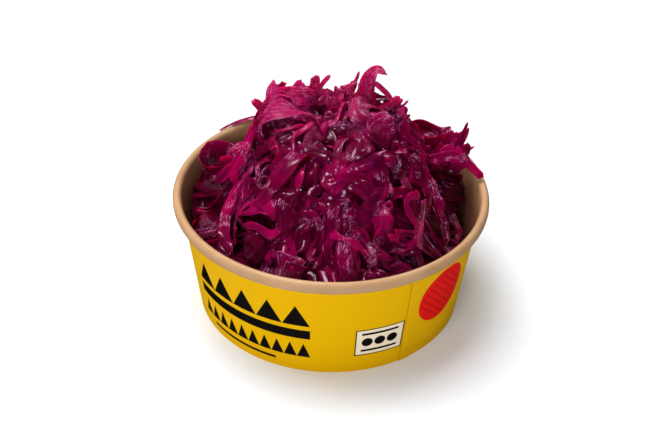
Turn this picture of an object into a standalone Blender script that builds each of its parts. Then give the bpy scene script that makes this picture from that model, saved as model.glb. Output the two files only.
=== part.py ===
"""A round paper bowl heaped high with shredded sweet and sour red cabbage.

Metres, +Z up. The origin is the centre of the bowl's foot, on the surface that it stands on, and the bowl's
front faces -Y. There are two solids: the paper bowl, and the cabbage from the bowl's floor up to its uneven
outline, which is a packed core with the shreds that show fused on.
"""

import math
import random

import bmesh
import bpy
import numpy as np
from mathutils import Vector
from mathutils.bvhtree import BVHTree

MM = 0.001

# The paper bowl: a straight wall from the foot to a rolled lip, with the floor set up inside the foot.
RIM_RADIUS = 75 * MM
FOOT_RADIUS = 64 * MM
BOWL_HEIGHT = 60 * MM
LIP_WIDTH = 4.2 * MM
LIP_HEIGHT = 6 * MM
WALL_THICKNESS = 0.7 * MM
SKIRT_THICKNESS = 1.6 * MM
FLOOR_UNDERSIDE = 6.5 * MM
FLOOR_THICKNESS = 0.8 * MM
BOWL_SEGMENTS = 64
# The lip's oval starts where the wall's outer face runs into it, low on its inner side.
LIP_START = math.radians(-146)
LIP_STEPS = 10

FLOOR_TOP = FLOOR_UNDERSIDE + FLOOR_THICKNESS
LIP_MIDDLE = BOWL_HEIGHT - LIP_HEIGHT / 2
INNER_FOOT = FOOT_RADIUS - WALL_THICKNESS
WALL_SLOPE = (RIM_RADIUS - LIP_WIDTH - INNER_FOOT) / LIP_MIDDLE

# The heap: a steep tower in the middle that runs down to the front as a slope, with a ledge round it.
GAP = 0.3 * MM
TOWER_TOP = 94 * MM
TOWER_MIDDLE = (0.5 * MM, 7 * MM)
TOWER_REACH = {"right": 45 * MM, "back": 49 * MM, "left": 43 * MM, "front": 69 * MM}
TOWER_POWER = {"right": 5.5, "back": 5.0, "left": 8.0, "front": 2.8}
TOWER_FALL = 1.2
LEDGE_HEIGHT = {"right": 41 * MM, "back": 49 * MM, "left": 44 * MM, "front": 49 * MM}
# Bumps on the ledge: plan position, height and spread.
LEDGE_BUMPS = (
    ((54 * MM, 29 * MM), 19 * MM, 12 * MM),
    ((-53 * MM, 21 * MM), 9 * MM, 12 * MM),
    ((34 * MM, 50 * MM), 8 * MM, 12 * MM),
)
LUMP_HEIGHT = 1.6 * MM
LUMP_LENGTH = 11 * MM
CORE_SPOKES = 36
CORE_RINGS = 12
EDGE_PASSES = 6
# Open spaces beside the heap, where the bowl's wall shows: the least and greatest x and y, and the least z.
HOLLOWS = (
    ((-70 * MM, -13 * MM), (-59 * MM, 4 * MM), 46 * MM),
    ((56 * MM, -12 * MM), (70 * MM, 9 * MM), 42 * MM),
)

# The heap seen from a point inside it, as a square map of directions out to an angle from straight up.
HEAP_CENTRE = np.array((0, 5 * MM, 40 * MM))
MAP_ANGLE = math.radians(105)
MAP_CELLS = 180
NORMAL_ANGLE = 0.06

# The shreds that are laid over the core, at true size. Each kind has its count, and the least and greatest
# length and width; the other values are the most that a shred may lean and bend, in degrees.
SEED = 11
LEAF_THICKNESS = 1.5 * MM
SHRED_KINDS = (
    {"count": 16, "length": (18 * MM, 28 * MM), "width": (9 * MM, 13 * MM), "tilt": 25, "bend": 60},
    {"count": 46, "length": (28 * MM, 48 * MM), "width": (4 * MM, 7 * MM), "tilt": 70, "bend": 120},
)
MOST_TWIST = 60
MOST_SPRING = 5 * MM
SECTION_LENGTH = 5.5 * MM
FEWEST_SECTIONS = 4
# How deep a shred sinks into what it lies on, and how sharply it bends over a bump, per metre.
SINK = 0.7 * MM
SUPPLENESS = 9
LIFT_PASSES = 3
# Nearer the top than this the shreds lie any way round. Further down they hang to within SIDE_SPREAD of straight.
TOP_ANGLE = math.radians(38)
SIDE_SPREAD = math.radians(65)
WIDEST_ANGLE = math.radians(92)
SPOTS_TRIED = 60
WALL_MARGIN = 5 * MM
MOST_MOVED = 8 * MM

# Shreds that stand out of the heap: places along each as (x, y, z, width) in mm, and the roll of its face about
# its own line, in degrees, at either end.
STANDING_SHREDS = (
    # the broad curl at the very top, which bends over to the right, and the strand that hangs from it
    (((6, 17, 90, 13), (12, 18, 101, 10), (16, 20, 108, 7), (20, 20, 111, 5), (26, 19, 110, 2)), (-10, 50)),
    (((18, 19, 105, 2), (24, 17, 101, 2), (29, 15, 95, 2)), (0, 30)),
    # short ends that point up from the top
    (((5, 20, 94, 3), (8, 21, 103, 2.5), (10.5, 22, 108, 1.5)), (0, 30)),
    (((-8, 18, 94, 5), (-7, 18, 102, 4), (-7, 18, 108, 3.5)), (20, 0)),
    (((-8, 18, 96, 2), (-4, 18, 104, 2), (-1, 18, 106.5, 2)), (20, 0)),
    # the folded leaf at the top left, and the end that points out beside it
    (((-37, 18, 80, 9), (-34, 20, 93, 11), (-27, 21, 100, 11), (-18, 20, 98, 10), (-10, 19, 94, 8)), (0, 0)),
    (((-38, 10, 80, 10), (-32, 11, 92, 13), (-22, 13, 98, 14), (-10, 15, 95, 12)), (0, 10)),
    (((-26, 16, 88, 4), (-32, 16, 92, 4), (-37, 15, 96, 3)), (0, 20)),
    # the thick end on the right shoulder
    (((20, 16, 90, 6), (27, 16, 94, 6), (32, 15, 99, 5)), (10, 30)),
    # the strand along the back left of the lip
    (((-14, 38, 78, 5), (-26, 50, 70, 4), (-38, 58, 65.5, 3), (-47.5, 54.5, 64, 3),
      (-56, 47, 63, 3)), (0, 0)),
    # the curl at the left edge
    (((-38, 12, 58, 6), (-56, 21, 65, 6), (-64, 19, 65, 6), (-67, 12, 62, 6), (-61, 7, 59, 5),
      (-44, 8, 56, 5)), (60, 80)),
    # the loops at the back right
    (((34, 42, 68, 5), (46, 46, 70, 5), (54, 42, 68, 5), (58, 35, 66, 5), (52, 31, 65, 5),
      (42, 30, 64, 5)), (20, 50)),
    (((30, 44, 66, 7), (40, 38, 71, 7), (50, 30, 70, 7), (58, 24, 66, 6)), (0, 30)),
    # the clump on the right that leans on the lip
    (((46, 20, 58, 8), (57, 23, 70, 8), (63, 20, 71, 7), (68, 14, 67, 6), (71.5, 6, 64.5, 4)), (20, 0)),
    (((54, 26, 62, 5), (60, 26, 73, 4), (64, 26, 81, 2)), (20, 60)),
    (((44, 32, 58, 10), (56, 32, 70, 10), (64, 26, 70, 9), (67, 18, 65, 6)), (0, 10)),
    (((44, 18, 60, 7), (54, 17, 67, 7), (61, 13, 64, 6), (63, 9, 58, 4)), (0, 40)),
    # strands that hang down beside the hollow on the right
    (((38, 6, 76, 5), (47, -2, 68, 6), (55, -13, 57, 6), (57, -24, 49, 6), (52, -32, 44, 5)), (20, 60)),
    (((34, -6, 76, 6), (46, -14, 64, 7), (54, -28, 54, 7), (54, -38, 50, 5)), (10, 20)),
    # strands that hang down the front
    (((-16, -30, 80, 6), (-18, -46, 66, 7), (-17, -58, 56, 7), (-16, -64, 50, 6)), (-10, 20)),
    (((10, -34, 78, 8), (8, -48, 68, 9), (8, -59, 58, 9), (10, -65, 51, 7)), (0, 20)),
    (((-44, -6, 66, 6), (-50, -20, 60, 6), (-50, -34, 54, 7), (-46, -44, 48, 6)), (-20, 20)),
)


def compass(angle, values):
    """Blends the values for right (+X), back (+Y), left and front by how far an angle points each way."""
    c, s = np.cos(angle), np.sin(angle)
    return (
        values["right"] * np.maximum(c, 0) ** 2
        + values["left"] * np.maximum(-c, 0) ** 2
        + values["back"] * np.maximum(s, 0) ** 2
        + values["front"] * np.maximum(-s, 0) ** 2
    )


def wall_inside(z):
    """Radius of the bowl's inner wall at a height."""
    return INNER_FOOT + WALL_SLOPE * z


def lumps(x, y):
    """A gentle unevenness, from -1 to 1, that repeats nowhere within the bowl."""
    a, b = x / LUMP_LENGTH, y / LUMP_LENGTH
    return (np.sin(1.9 * a + 0.7 * b) + np.sin(2.3 * b - 0.9 * a + 1.3) + np.sin(1.2 * a + 2.9 * b + 4)) / 3


def core_height(x, y):
    """Height of the packed core's top at a point of the plan."""
    ledge = compass(np.arctan2(y, x), LEDGE_HEIGHT)
    dx, dy = x - TOWER_MIDDLE[0], y - TOWER_MIDDLE[1]
    way = np.arctan2(dy, dx)
    share = np.clip(np.hypot(dx, dy) / compass(way, TOWER_REACH), 0, 1)
    tower = (1 - share ** compass(way, TOWER_POWER)) ** TOWER_FALL
    height = ledge + (TOWER_TOP - ledge) * tower
    for (bump_x, bump_y), rise, spread in LEDGE_BUMPS:
        away = ((x - bump_x) ** 2 + (y - bump_y) ** 2) / spread**2
        height = height + rise * np.exp(-away) * (1 - tower)
    return height + LUMP_HEIGHT * lumps(x, y)


def frames(line, outward):
    """Unit vectors across a line of points and up from it, with up as near outward as can be."""
    tangent = np.gradient(line, axis=0)
    tangent /= np.linalg.norm(tangent, axis=-1, keepdims=True)
    across = np.cross(tangent, outward)
    across /= np.linalg.norm(across, axis=-1, keepdims=True)
    return across, np.cross(across, tangent)


def rolled(across, up, angle):
    """Width and thickness vectors of a strip whose face is rolled by an angle about its own line."""
    c, s = np.cos(angle)[:, None], np.sin(angle)[:, None]
    return across * c + up * s, up * c - across * s


class Heap:
    """The heap's outer surface so far: how far it reaches from HEAP_CENTRE in each direction.

    A direction is a point of a flat map, whose distance from the middle is the angle from straight up.
    """

    def __init__(self, core):
        side = np.linspace(-MAP_ANGLE, MAP_ANGLE, MAP_CELLS)
        self.cell = side[1] - side[0]
        u, v = np.meshgrid(side, side, indexing="ij")
        tree = BVHTree.FromPolygons([v.co for v in core.vertices], [p.vertices for p in core.polygons])
        ways = self.direction(np.stack([u, v], -1)).reshape(-1, 3)
        hits = [tree.ray_cast(Vector(HEAP_CENTRE), Vector(way)) for way in ways]
        self.core = np.array([distance for _, _, _, distance in hits]).reshape(u.shape)
        self.reach = self.core.copy()

    @staticmethod
    def direction(uv):
        """The unit vector that a map position stands for."""
        angle = np.maximum(np.linalg.norm(uv, axis=-1), 1e-9)
        flat = (np.sin(angle) / angle)[..., None] * uv
        return np.concatenate([flat, np.cos(angle)[..., None]], -1)

    @staticmethod
    def place(points):
        """The map position of points, and their distance from HEAP_CENTRE."""
        away = points - HEAP_CENTRE
        distance = np.linalg.norm(away, axis=-1)
        angle = np.arccos(np.clip(away[..., 2] / distance, -1, 1))
        flat = np.maximum(np.hypot(away[..., 0], away[..., 1]), 1e-12)
        return away[..., :2] * (angle / flat)[..., None], distance

    def sample(self, grid, uv):
        """A grid's value at map positions, blended between its cells."""
        at = np.clip((uv + MAP_ANGLE) / self.cell, 0, MAP_CELLS - 1.001)
        x, y = at[..., 0].astype(int), at[..., 1].astype(int)
        a, b = at[..., 0] - x, at[..., 1] - y
        return (
            grid[x, y] * (1 - a) * (1 - b)
            + grid[x + 1, y] * a * (1 - b)
            + grid[x, y + 1] * (1 - a) * b
            + grid[x + 1, y + 1] * a * b
        )

    def outward(self, uv):
        """The core's outward normal, smoothed over a few millimetres."""
        ends = []
        for step in ((1, 0), (-1, 0), (0, 1), (0, -1)):
            moved = uv + NORMAL_ANGLE * np.array(step)
            ends.append(self.direction(moved) * self.sample(self.core, moved)[..., None])
        normal = np.cross(ends[0] - ends[1], ends[2] - ends[3])
        return normal / np.linalg.norm(normal, axis=-1, keepdims=True)

    def cover(self, points):
        """Raises the surface to these points."""
        uv, distance = self.place(points.reshape(-1, 3))
        at = np.clip(np.round((uv + MAP_ANGLE) / self.cell).astype(int), 0, MAP_CELLS - 1)
        np.maximum.at(self.reach, (at[:, 0], at[:, 1]), distance)

    def walk(self, shred, count):
        """Map positions of a shred's sections, walked over the core both ways from its middle."""
        middle = count // 2
        step = shred["length"] / (count - 1)
        uv = np.zeros((count, 2))
        uv[middle] = shred["at"]
        for sign, steps in ((1, count - middle), (-1, middle + 1)):
            here = shred["at"]
            for k in range(1, steps):
                heading = shred["heading"] + shred["bend"] * sign * k / count
                angle = step / self.sample(self.core, here)
                here = here + sign * angle * np.array((math.cos(heading), math.sin(heading)))
                uv[middle + sign * k] = here
        return uv, (np.arange(count) - middle) * step

    def lay(self, shred):
        """Drapes a shred over the heap and returns its centres, width vectors and thickness vectors.

        Each section is lifted until its whole width clears what lies below, and each lift is spread along the
        shred as far as its suppleness lets it.
        """
        count = max(FEWEST_SECTIONS, round(shred["length"] / SECTION_LENGTH)) + 1
        uv, along = self.walk(shred, count)
        normal = self.outward(uv)
        ground = HEAP_CENTRE + self.direction(uv) * self.sample(self.core, uv)[..., None]
        across, up = frames(ground, normal)
        tilt = shred["tilt"] + shred["twist"] * along / shred["length"]
        width, thick = rolled(across, up, tilt)
        ends = np.linspace(-0.5, 0.5, 5) * shred["width"]
        lift = np.zeros(count)
        for _ in range(LIFT_PASSES):
            centre = ground + normal * lift[:, None]
            there, distance = self.place(centre[:, None] + width[:, None] * ends[None, :, None])
            lift += (self.sample(self.reach, there) - distance).max(1) + LEAF_THICKNESS / 2 - SINK
            lift = (lift[None] - SUPPLENESS * (along[:, None] - along[None]) ** 2).max(1)
        lift += shred["spring"] * np.abs(2 * along / shred["length"]) ** 4
        return ground + normal * lift[:, None], width, thick


def keep_off_wall(centre, width, half):
    """Moves each section of a shred in from the bowl's wall and lip, as far as its width needs."""
    ends = centre[:, None] + width[:, None] * np.array((-half, 0, half))[None, :, None]
    radius = np.hypot(ends[..., 0], ends[..., 1])
    room = np.minimum(wall_inside(ends[..., 2]), RIM_RADIUS - LIP_WIDTH) - LEAF_THICKNESS
    over = np.maximum(radius - room, 0).max(1)
    away = np.hypot(centre[:, 0], centre[:, 1])
    moved = centre.copy()
    moved[:, :2] *= ((away - over) / away)[:, None]
    return moved, over < MOST_MOVED


def clear_of_hollows(centre):
    """True at each section of a shred that stays out of the open spaces."""
    clear = np.ones(len(centre), bool)
    x, y, z = centre.T
    for least, greatest, bottom in HOLLOWS:
        clear &= ~((x > least[0]) & (x < greatest[0]) & (y > least[1]) & (y < greatest[1]) & (z > bottom))
    return clear


def longest_run(allowed):
    """The longest unbroken stretch of True, as a slice."""
    best, start = (0, 0), None
    for i, good in enumerate([*allowed, False]):
        if good and start is None:
            start = i
        elif not good and start is not None:
            best = max(best, (i - start, -start))
            start = None
    return slice(-best[1], -best[1] + best[0])


def strip_mesh(name, centre, half, width, thick, thickness):
    """A closed strip with a rectangular section, whose two faces are split into triangles alike."""
    mesh = bpy.data.meshes.new(name)
    build = bmesh.new()
    rows = []
    for c, h, w, t in zip(centre, half, width, thick):
        corners = ((-h, -1), (h, -1), (h, 1), (-h, 1))
        rows.append([build.verts.new(c + w * a + t * b * thickness / 2) for a, b in corners])
    for first, second in zip(rows, rows[1:]):
        for i in range(4):
            j = (i + 1) % 4
            if i == 0:
                build.faces.new((first[i], first[j], second[j]))
                build.faces.new((first[i], second[j], second[i]))
            else:
                build.faces.new((first[i], first[j], second[i]))
                build.faces.new((first[j], second[j], second[i]))
    build.faces.new(rows[0][::-1])
    build.faces.new(rows[-1])
    bmesh.ops.recalc_face_normals(build, faces=build.faces)
    bmesh.ops.triangulate(build, faces=[f for f in build.faces if len(f.verts) > 3])
    build.to_mesh(mesh)
    build.free()
    return mesh


def curve_through(knots, count):
    """Evenly spaced samples of a smooth curve through a few rows of numbers."""
    knots = np.array(knots, float)
    ends = np.vstack([2 * knots[0] - knots[1], knots, 2 * knots[-1] - knots[-2]])
    rows = []
    for k in np.linspace(0, len(knots) - 1, count):
        i = min(int(k), len(knots) - 2)
        t = k - i
        a, b, c, d = ends[i : i + 4]
        square, cube = 2 * a - 5 * b + 4 * c - d, 3 * b - a - 3 * c + d
        rows.append((2 * b + (c - a) * t + square * t**2 + cube * t**3) / 2)
    return np.array(rows)


def standing_shred(places, roll):
    """Centres, half widths, width vectors and thickness vectors of a shred that stands out of the heap."""
    rows = curve_through(places, 2 * len(places) - 1) * MM
    centre, half = rows[:, :3], rows[:, 3] / 2
    across, up = frames(centre, centre - HEAP_CENTRE)
    return centre, half, *rolled(across, up, np.radians(np.linspace(*roll, len(centre))))


def new_object(name, mesh, material):
    made = bpy.data.objects.new(name, mesh)
    bpy.context.scene.collection.objects.link(made)
    mesh.materials.append(material)
    return made


def make_material(name, colour, roughness):
    material = bpy.data.materials.new(name)
    material.use_nodes = True
    shader = material.node_tree.nodes["Principled BSDF"]
    shader.inputs["Base Color"].default_value = (*colour, 1)
    shader.inputs["Roughness"].default_value = roughness
    shader.inputs["Metallic"].default_value = 0
    return material


def bowl_profile():
    """The bowl's section as (radius, height): out along the underside, up, round the lip and back in."""
    skirt_inside = FOOT_RADIUS - SKIRT_THICKNESS
    half_width, half_height = LIP_WIDTH / 2, LIP_HEIGHT / 2
    lip_centre = RIM_RADIUS - half_width
    lip = []
    for i in range(LIP_STEPS + 1):
        angle = LIP_START + (math.pi - LIP_START) * i / LIP_STEPS
        lip.append((lip_centre + half_width * math.cos(angle), LIP_MIDDLE + half_height * math.sin(angle)))
    return [
        (0, FLOOR_UNDERSIDE),
        (skirt_inside, FLOOR_UNDERSIDE),
        (skirt_inside, 0),
        (FOOT_RADIUS, 0),
        *lip,
        (wall_inside(FLOOR_TOP), FLOOR_TOP),
        (0, FLOOR_TOP),
    ]


def make_bowl(material):
    """Spins the bowl's section about the Z axis."""
    build = bmesh.new()
    verts = [build.verts.new((r, 0, z)) for r, z in bowl_profile()]
    edges = [build.edges.new(pair) for pair in zip(verts, verts[1:])]
    bmesh.ops.spin(
        build,
        geom=verts + edges,
        cent=(0, 0, 0),
        axis=(0, 0, 1),
        dvec=(0, 0, 0),
        angle=math.tau,
        steps=BOWL_SEGMENTS,
        use_merge=True,
    )
    bmesh.ops.remove_doubles(build, verts=build.verts, dist=1e-6)
    bmesh.ops.recalc_face_normals(build, faces=build.faces)
    mesh = bpy.data.meshes.new("paper_bowl")
    build.to_mesh(mesh)
    build.free()
    mesh.shade_smooth()
    mesh.set_sharp_from_angle(angle=math.radians(40))
    return new_object("paper_bowl", mesh, material)


def core_mesh():
    """The packed core: it fills the bowl from its floor, clear of its wall, up to the heap's surface."""
    build = bmesh.new()
    angles = [math.tau * j / CORE_SPOKES for j in range(CORE_SPOKES)]

    def edge_of(angle):
        """Radius and height where the core's top meets its side, clear of the wall at that height."""
        radius = wall_inside(BOWL_HEIGHT / 2)
        for _ in range(EDGE_PASSES):
            height = float(core_height(radius * math.cos(angle), radius * math.sin(angle)))
            radius = wall_inside(min(height, LIP_MIDDLE)) - GAP
        return radius, height

    def ring(spots):
        """A vertex on each spoke, at its own radius and height."""
        return [build.verts.new((r * math.cos(a), r * math.sin(a), z)) for a, (r, z) in zip(angles, spots)]

    base = FLOOR_TOP + GAP
    rings = [ring([(wall_inside(base) - GAP, base)] * CORE_SPOKES)]
    edges = [edge_of(a) for a in angles]
    rings.append(ring(edges))
    for i in range(CORE_RINGS - 1, 0, -1):
        share = i / CORE_RINGS
        spots = []
        for a, (edge, _) in zip(angles, edges):
            x, y = edge * share * math.cos(a), edge * share * math.sin(a)
            spots.append((edge * share, float(core_height(x, y))))
        rings.append(ring(spots))
    for lower, upper in zip(rings, rings[1:]):
        for j in range(CORE_SPOKES):
            k = (j + 1) % CORE_SPOKES
            build.faces.new((lower[j], lower[k], upper[k], upper[j]))
    top = build.verts.new((0, 0, float(core_height(0.0, 0.0))))
    for j in range(CORE_SPOKES):
        build.faces.new((rings[-1][j], rings[-1][(j + 1) % CORE_SPOKES], top))
    build.faces.new(rings[0][::-1])
    bmesh.ops.recalc_face_normals(build, faces=build.faces)
    bmesh.ops.triangulate(build, faces=build.faces)
    mesh = bpy.data.meshes.new("cabbage_heap")
    build.to_mesh(mesh)
    build.free()
    return mesh


def barest_spot(heap, laid, draw):
    """The direction, of a few random ones, whose place on the core is farthest from every shred laid so far."""
    spots = []
    for _ in range(SPOTS_TRIED):
        angle, way = WIDEST_ANGLE * math.sqrt(draw.random()), draw.uniform(0, math.tau)
        spots.append((angle * math.cos(way), angle * math.sin(way)))
    spots = np.array(spots)
    places = HEAP_CENTRE + heap.direction(spots) * heap.sample(heap.core, spots)[:, None]
    by_the_wall = np.hypot(places[:, 0], places[:, 1]) > wall_inside(places[:, 2]) - WALL_MARGIN
    apart = np.linalg.norm(places[:, None] - np.concatenate(laid)[None], axis=-1).min(1)
    return spots[np.where(by_the_wall, 0, apart).argmax()]


def shred_meshes(core):
    """Every shred's mesh: those laid over the heap, the largest first, and those that stand out of it."""
    draw = random.Random(SEED)
    heap = Heap(core)
    laid, meshes = [HEAP_CENTRE[None]], []
    for kind in SHRED_KINDS:
        for _ in range(kind["count"]):
            at = barest_spot(heap, laid, draw)
            angle, way = np.linalg.norm(at), math.atan2(at[1], at[0])
            shred = {
                "at": at,
                "heading": way + draw.uniform(-1, 1) * (math.pi if angle < TOP_ANGLE else SIDE_SPREAD),
                "length": draw.uniform(*kind["length"]),
                "width": draw.uniform(*kind["width"]),
                "bend": math.radians(draw.uniform(-1, 1) * kind["bend"]),
                "tilt": math.radians(draw.uniform(-1, 1) * kind["tilt"]),
                "twist": math.radians(draw.uniform(-1, 1) * MOST_TWIST),
                "spring": draw.uniform(0, MOST_SPRING),
            }
            centre, width, thick = heap.lay(shred)
            half = shred["width"] / 2
            centre, near_enough = keep_off_wall(centre, width, half)
            keep = longest_run(near_enough & clear_of_hollows(centre))
            laid.append(centre[len(centre) // 2][None])
            if keep.stop - keep.start < FEWEST_SECTIONS:
                continue
            centre, width, thick = centre[keep], width[keep], thick[keep]
            laid.append(centre)
            spots = np.linspace(-half, half, 13)
            face = centre + thick * LEAF_THICKNESS / 2
            heap.cover(face[:, None] + width[:, None] * spots[None, :, None])
            meshes.append(strip_mesh("shred", centre, [half] * len(centre), width, thick, LEAF_THICKNESS))
    for places, roll in STANDING_SHREDS:
        centre, half, width, thick = standing_shred(places, roll)
        meshes.append(strip_mesh("shred", centre, half, width, thick, LEAF_THICKNESS))
    return meshes


def keep_outer_shell(mesh):
    """Leaves the largest connected shell: loose scraps go, and hollows that the union sealed are filled."""
    build = bmesh.new()
    build.from_mesh(mesh)
    shells, seen = [], set()
    for start in build.faces:
        if start in seen:
            continue
        shell, stack = [], [start]
        seen.add(start)
        while stack:
            face = stack.pop()
            shell.append(face)
            for edge in face.edges:
                for other in edge.link_faces:
                    if other not in seen:
                        seen.add(other)
                        stack.append(other)
        shells.append(shell)
    shells.sort(key=len, reverse=True)
    spare = [face for shell in shells[1:] for face in shell]
    bmesh.ops.delete(build, geom=spare, context="FACES")
    build.to_mesh(mesh)
    build.free()


def make_cabbage(material):
    """Fuses the core and its shreds into one solid."""
    heap = new_object("cabbage_heap", core_mesh(), material)
    shreds = bpy.data.collections.new("shreds")
    bpy.context.scene.collection.children.link(shreds)
    for mesh in shred_meshes(heap.data):
        shreds.objects.link(bpy.data.objects.new("shred", mesh))
    union = heap.modifiers.new("fuse", "BOOLEAN")
    union.operation = "UNION"
    union.operand_type = "COLLECTION"
    union.collection = shreds
    union.solver = "MANIFOLD"
    bpy.context.view_layer.update()
    fused = bpy.data.meshes.new_from_object(heap.evaluated_get(bpy.context.evaluated_depsgraph_get()))
    heap.modifiers.clear()
    heap.data = fused
    fused.materials.clear()
    fused.materials.append(material)
    for shred in list(shreds.objects):
        bpy.data.objects.remove(shred)
    bpy.data.collections.remove(shreds)
    keep_outer_shell(fused)


def main():
    for old in list(bpy.data.objects):
        bpy.data.objects.remove(old)
    make_bowl(make_material("printed_paper", (0.68, 0.40, 0.01), 0.45))
    make_cabbage(make_material("red_cabbage", (0.16, 0.004, 0.04), 0.3))


main()
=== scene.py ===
"""Looks of a round paper bowl heaped high with shredded sweet and sour red cabbage.

Metres, +Z up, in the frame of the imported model, whose origin is the centre of the bowl's foot. The bowl is
its kraft paper and its printed wrap, and the heap is a dark core with every shred laid over it.
"""

import math
import random
from collections import namedtuple
from types import SimpleNamespace

import bmesh
import bpy
import numpy as np
from mathutils import Matrix, Vector
from mathutils.bvhtree import BVHTree


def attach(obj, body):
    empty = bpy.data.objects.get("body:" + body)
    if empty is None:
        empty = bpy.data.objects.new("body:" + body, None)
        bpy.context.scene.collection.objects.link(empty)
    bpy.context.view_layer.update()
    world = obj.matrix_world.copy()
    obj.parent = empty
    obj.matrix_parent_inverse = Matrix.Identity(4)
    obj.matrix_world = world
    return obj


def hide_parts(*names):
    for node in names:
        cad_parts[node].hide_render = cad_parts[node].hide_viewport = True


MM = 0.001
TINY = 1e-12

# The camera looks at the bowl's middle from the front and above. Its lens and shift are for a 660 x 440
# frame, whose optical centre is a little below its middle.
FRAME_WIDTH = 660
CAMERA_DROP = math.radians(36.65)
CAMERA_DISTANCE = 0.6
CAMERA_ROLL = math.radians(1.5)
AIM_HEIGHT = 30 * MM
SENSOR_WIDTH = 36
FOCAL_PIXELS = 1227.2
CENTRE_DROP_PIXELS = 17.3

# The paper bowl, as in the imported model.
RIM_RADIUS = 75 * MM
FOOT_RADIUS = 64 * MM
BOWL_HEIGHT = 60 * MM
LIP_WIDTH = 4.2 * MM
LIP_HEIGHT = 6 * MM
WALL_THICKNESS = 0.7 * MM
SKIRT_THICKNESS = 1.6 * MM
FLOOR_UNDERSIDE = 6.5 * MM
FLOOR_THICKNESS = 0.8 * MM
LIP_START = math.radians(-146)
LIP_MIDDLE = BOWL_HEIGHT - LIP_HEIGHT / 2
FLOOR_TOP = FLOOR_UNDERSIDE + FLOOR_THICKNESS
INNER_FOOT = FOOT_RADIUS - WALL_THICKNESS
WALL_SLOPE = (RIM_RADIUS - LIP_WIDTH - INNER_FOOT) / LIP_MIDDLE
SKIRT_CHAMFER = 0.3 * MM
BOWL_SEGMENTS = 256
SHARP_ANGLE = math.radians(40)
WALL_ROWS = 16
# Where the inside of the wall starts to be darkened by painted shade, reddened as a painted reflection of the
# cabbage, and how far down it is darkest.
INSIDE_SHADE_TOP = 56 * MM
INSIDE_SHADE_FADE = 14 * MM
DARKEST_INSIDE_SHADE = 0.9
LIP_STEPS = 28
# The printed wrap round the outside, and where its overlapping edge lies.
WRAP_THICKNESS = 0.2 * MM
WRAP_TUCK = 0.5 * MM
WRAP_ROWS = 24
SEAM_ANGLE = math.radians(-58.7)
SEAM_OVERLAP = math.radians(6.8)
SEAM_STEP = 0.4 * MM

# The heap's core: a tower on a ledge, with sizes for its right, left, back and front, and bumps on both as
# (x, y, rise, spread). The shreds are laid on it once it is drawn in by the inset.
CORE_INSET = 4 * MM
TOWER_TOP = 94 * MM
TOWER_MIDDLE = (0.5 * MM, 7 * MM)
TOWER_REACH = (45 * MM, 39 * MM, 49 * MM, 69 * MM)
TOWER_POWER = (5.5, 8.0, 5.0, 2.8)
TOWER_FALL = 1.2
LEDGE_HEIGHT = (41 * MM, 44 * MM, 49 * MM, 49 * MM)
LEDGE_BUMPS = MM * np.array(((54, 29, 19, 12), (-52, 21, 13, 14), (34, 50, 8, 12)))
TOP_BUMPS = MM * np.array(((-24, 12, 5, 10), (20, 12, 2.5, 9), (-4, -4, -3, 9)))
LUMP_HEIGHT = 1.6 * MM
LUMP_LENGTH = 11 * MM
CORE_SPOKES = 256
CORE_RINGS = 88
CORE_CLEARANCE = 2 * MM
CORE_ROUGHNESS = 0.6 * MM
ROUGH_WAVES = (900, 1100)
EDGE_PASSES = 6
# The open spaces beside the heap: the least and greatest x and y of each, and its bottom.
HOLLOWS = MM * np.array(((-70, -59, -13, 4, 46), (56, 70, -12, 9, 42)))

# The heap seen from a point inside it, as a square map of directions out to an angle from straight up.
HEAP_CENTRE = np.array((0, 5 * MM, 40 * MM))
MAP_ANGLE = math.radians(105)
MAP_CELLS = 240
NORMAL_ANGLE = 0.06
COVER_SPACING = 0.6 * MM
# The shreds are pressed down, softly, from this far outside the core's surface before it is drawn in.
PRESS_START = 1 * MM
PRESS_DEPTH = 5 * MM
FLATTEST = 0.3

# The kinds of shred, with sizes in mm: how many there are; the least and greatest length, width and
# thickness; the most that one may tilt, bend, twist and curl across, in degrees; the heights of its ruffles,
# its pleats, its ends and its arch; how steeply it may drape; its points across; and how narrow its ends are.
SEED = 5
Kind = namedtuple(
    "Kind", "count length width thickness tilt bend twist curl ruffle pleat ends arch supple columns taper"
)
SHRED_KINDS = dict(
    flap=Kind(190, (20, 38), (7, 12.5), (0.5, 0.8), 55, 90, 100, 85, 1.6, 1.0, (-11, -4), 4, 60, 15, 1.0),
    ribbon=Kind(250, (20, 38), (3, 6), (0.6, 0.9), 75, 200, 150, 110, 0.8, 0.4, (-11, -4), 4, 50, 11, 0.95),
    thread=Kind(40, (14, 26), (2, 3), (0.9, 1.3), 90, 220, 120, 60, 0.3, 0, (-6, 0), 3, 60, 7, 0.85),
    tip=Kind(40, (10, 18), (3, 6), (0.6, 0.9), 80, 90, 120, 130, 0.6, 0.3, (-7, 4), 2, 70, 9, 0.9),
    rib=Kind(20, (10, 20), (3.5, 6), (1.6, 2.4), 50, 50, 40, 50, 0.2, 0, (-5, 0), 1, 14, 9, 0.9),
)
SECTION_LENGTH = 1.5 * MM
FEWEST_SECTIONS = 8
SINK = 0.5 * MM
LIFT_PASSES = 3
RUFFLE_LENGTH = (7 * MM, 13 * MM)
PLEAT_LENGTH = (4 * MM, 7 * MM)
TORN_ENDS = 0.5 * MM
LEAST_CURL = 0.01
CRUMPLE = (0.1 * MM, 0.35 * MM)
TOP_ANGLE = math.radians(38)
SIDE_SPREAD = math.radians(58)
WIDEST_ANGLE = math.radians(92)
STEEP_SHORTER = 0.4
SPOTS_TRIED = 24
WALL_MARGIN = 4 * MM
WALL_GAP = 0.8 * MM
MOST_MOVED = 8 * MM
# A slow warp of the whole heap, which gives every shred the same soft unevenness as its neighbours.
WARP_WAVES = 9
WARP_HEIGHT = 0.9 * MM
WARP_LENGTH = (14 * MM, 32 * MM)

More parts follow.
